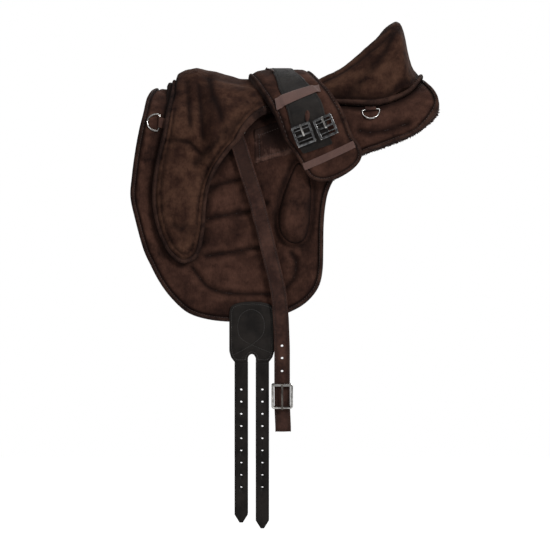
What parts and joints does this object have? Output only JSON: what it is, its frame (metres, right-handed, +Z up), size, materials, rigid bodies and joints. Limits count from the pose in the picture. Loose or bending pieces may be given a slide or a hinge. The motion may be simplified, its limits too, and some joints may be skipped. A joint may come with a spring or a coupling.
{
  "type": "treeless riding saddle",
  "caption": "Suede treeless saddle with fixed quilted pad, knee rolls, stirrup leathers, billets, D rings and a short girth over the seat.",
  "frame": {"origin": "on the mid-plane, on the pad's underside over the horse's spine, halfway along the saddle", "axes": "+Z up, +X back towards the cantle, -Y the horse's near (left) side, the side in the picture"},
  "size_m": [0.6314, 0.3906, 1.0326],
  "materials": {
    "black_leather": "semi-gloss",
    "nickel_plate": "bright",
    "brown_strap_leather": "waxed matt",
    "brown_fleece": "pile",
    "suede_edge_binding": "brushed nap",
    "dark_roller_buckle_steel": "dark gunmetal",
    "brown_elastic": "ribbed elastic",
    "dark_brown_suede": "brushed nap",
    "black_webbing": "woven",
    "firm_block_foam": "closed-cell foam",
    "upholstery_foam": "open-cell foam",
    "smooth_brown_panel": "smooth matt"
  },
  "bodies": {
    "saddle": {"billet_head_far": "black_leather", "billet_head_near": "black_leather", "d_ring_tab_front_far": "brown_strap_leather", "d_ring_tab_front_near": "brown_strap_leather", "d_ring_tab_rear_far": "brown_strap_leather", "d_ring_tab_rear_near": "brown_strap_leather", "fleece_far": "brown_fleece", "fleece_near": "brown_fleece", "girth_web": "black_webbing", "knee_block_far": "firm_block_foam", "knee_block_near": "firm_block_foam", "pad_binding": "suede_edge_binding", "pad_cover": "dark_brown_suede", "pad_foam": "upholstery_foam", "pommel_binding": "suede_edge_binding", "pommel_cover": "dark_brown_suede", "pommel_foam": "upholstery_foam", "seat_base_panel_far": "smooth_brown_panel", "seat_base_panel_near": "smooth_brown_panel", "seat_binding": "suede_edge_binding", "seat_cover": "dark_brown_suede", "seat_foam": "upholstery_foam", "spine_strip": "black_webbing", "stirrup_belt": "black_webbing", "stirrup_tab_far": "black_webbing", "stirrup_tab_near": "black_webbing", "thigh_block_far": "dark_brown_suede", "thigh_block_near": "dark_brown_suede"},
    "stirrup_leather_near_body": {"stirrup_ring_near": "nickel_plate", "stirrup_leather_near": "brown_strap_leather", "stirrup_buckle_near": "nickel_plate"},
    "stirrup_prong_near_body": {"stirrup_prong_near": "nickel_plate"},
    "billet_front_near_body": {"billet_front_near": "black_leather"},
    "d_ring_front_near_body": {"d_ring_front_near": "nickel_plate"},
    "billet_rear_near_body": {"billet_rear_near": "black_leather"},
    "d_ring_rear_near_body": {"d_ring_rear_near": "nickel_plate"},
    "stirrup_leather_far_body": {"stirrup_ring_far": "nickel_plate", "stirrup_leather_far": "brown_strap_leather", "stirrup_buckle_far": "nickel_plate"},
    "stirrup_prong_far_body": {"stirrup_prong_far": "nickel_plate"},
    "billet_front_far_body": {"billet_front_far": "black_leather"},
    "d_ring_front_far_body": {"d_ring_front_far": "nickel_plate"},
    "billet_rear_far_body": {"billet_rear_far": "black_leather"},
    "d_ring_rear_far_body": {"d_ring_rear_far": "nickel_plate"},
    "girth_body": {"girth_fleece": "brown_fleece", "girth_pad": "dark_brown_suede", "girth_binding": "suede_edge_binding", "girth_strap": "black_leather", "girth_buckle_front_far": "dark_roller_buckle_steel", "girth_buckle_front_near": "dark_roller_buckle_steel", "girth_buckle_rear_far": "dark_roller_buckle_steel", "girth_buckle_rear_near": "dark_roller_buckle_steel", "girth_keeper_lower_far": "brown_elastic", "girth_keeper_lower_near": "brown_elastic", "girth_keeper_upper_far": "brown_elastic", "girth_keeper_upper_near": "brown_elastic"},
    "girth_prong_front_near_body": {"girth_prong_front_near": "nickel_plate"},
    "girth_prong_front_far_body": {"girth_prong_front_far": "nickel_plate"},
    "girth_prong_rear_near_body": {"girth_prong_rear_near": "nickel_plate"},
    "girth_prong_rear_far_body": {"girth_prong_rear_far": "nickel_plate"}
  },
  "joints": [
    {"name": "stirrup_leather_near_swing", "type": "hinge", "parent": "saddle", "child": "stirrup_leather_near_body", "pos_m": [-0.10238, -0.1572, -0.02853], "axis": [0, 1, 0], "range_deg": [0, 18]},
    {"name": "stirrup_prong_near_lift", "type": "hinge", "parent": "stirrup_leather_near_body", "child": "stirrup_prong_near_body", "pos_m": [-0.0058, -0.1677, -0.60751], "axis": [1, 0, 0], "range_deg": [0, 90]},
    {"name": "billet_front_near_swing", "type": "hinge", "parent": "saddle", "child": "billet_front_near_body", "pos_m": [-0.08956, -0.1544, -0.51663], "axis": [-1, 0, 0], "range_deg": [-20, 80]},
    {"name": "d_ring_front_near_swing", "type": "hinge", "parent": "saddle", "child": "d_ring_front_near_body", "pos_m": [-0.25596, -0.14989, -0.02484], "axis": [0.0766, 0.2653, 0.9611], "range_deg": [0, 100]},
    {"name": "billet_rear_near_swing", "type": "hinge", "parent": "saddle", "child": "billet_rear_near_body", "pos_m": [-0.04632, -0.1544, -0.51663], "axis": [-1, 0, 0], "range_deg": [-20, 80]},
    {"name": "d_ring_rear_near_swing", "type": "hinge", "parent": "saddle", "child": "d_ring_rear_near_body", "pos_m": [0.17506, -0.13251, 0.00315], "axis": [-0.9943, 0, -0.107], "range_deg": [0, 100]},
    {"name": "stirrup_leather_far_swing", "type": "hinge", "parent": "saddle", "child": "stirrup_leather_far_body", "pos_m": [-0.10238, 0.1572, -0.02853], "axis": [0, 1, 0], "range_deg": [0, 18]},
    {"name": "stirrup_prong_far_lift", "type": "hinge", "parent": "stirrup_leather_far_body", "child": "stirrup_prong_far_body", "pos_m": [-0.0058, 0.1677, -0.60751], "axis": [-1, 0, 0], "range_deg": [0, 90]},
    {"name": "billet_front_far_swing", "type": "hinge", "parent": "saddle", "child": "billet_front_far_body", "pos_m": [-0.08956, 0.1544, -0.51663], "axis": [1, 0, 0], "range_deg": [-20, 80]},
    {"name": "d_ring_front_far_swing", "type": "hinge", "parent": "saddle", "child": "d_ring_front_far_body", "pos_m": [-0.25596, 0.14989, -0.02484], "axis": [-0.0766, 0.2653, -0.9611], "range_deg": [0, 100]},
    {"name": "billet_rear_far_swing", "type": "hinge", "parent": "saddle", "child": "billet_rear_far_body", "pos_m": [-0.04632, 0.1544, -0.51663], "axis": [1, 0, 0], "range_deg": [-20, 80]},
    {"name": "d_ring_rear_far_swing", "type": "hinge", "parent": "saddle", "child": "d_ring_rear_far_body", "pos_m": [0.17506, 0.13251, 0.00315], "axis": [0.9943, 0, 0.107], "range_deg": [0, 100]},
    {"name": "girth_lift", "type": "slide", "parent": "saddle", "child": "girth_body", "axis": [0, 0, 1], "range_m": [0, 0.4]},
    {"name": "girth_prong_front_near_lift", "type": "hinge", "parent": "girth_body", "child": "girth_prong_front_near_body", "pos_m": [0.03793, -0.1886, -0.04929], "axis": [0.9321, -0.0208, 0.3615], "range_deg": [0, 90]},
    {"name": "girth_prong_front_far_lift", "type": "hinge", "parent": "girth_body", "child": "girth_prong_front_far_body", "pos_m": [0.03793, 0.1886, -0.04929], "axis": [-0.9321, -0.0208, -0.3615], "range_deg": [0, 90]},
    {"name": "girth_prong_rear_near_lift", "type": "hinge", "parent": "girth_body", "child": "girth_prong_rear_near_body", "pos_m": [0.08277, -0.19046, -0.03328], "axis": [0.9167, 0.0188, 0.3992], "range_deg": [0, 90]},
    {"name": "girth_prong_rear_far_lift", "type": "hinge", "parent": "girth_body", "child": "girth_prong_rear_far_body", "pos_m": [0.08277, 0.19046, -0.03328], "axis": [-0.9167, 0.0188, -0.3992], "range_deg": [0, 90]}
  ]
}
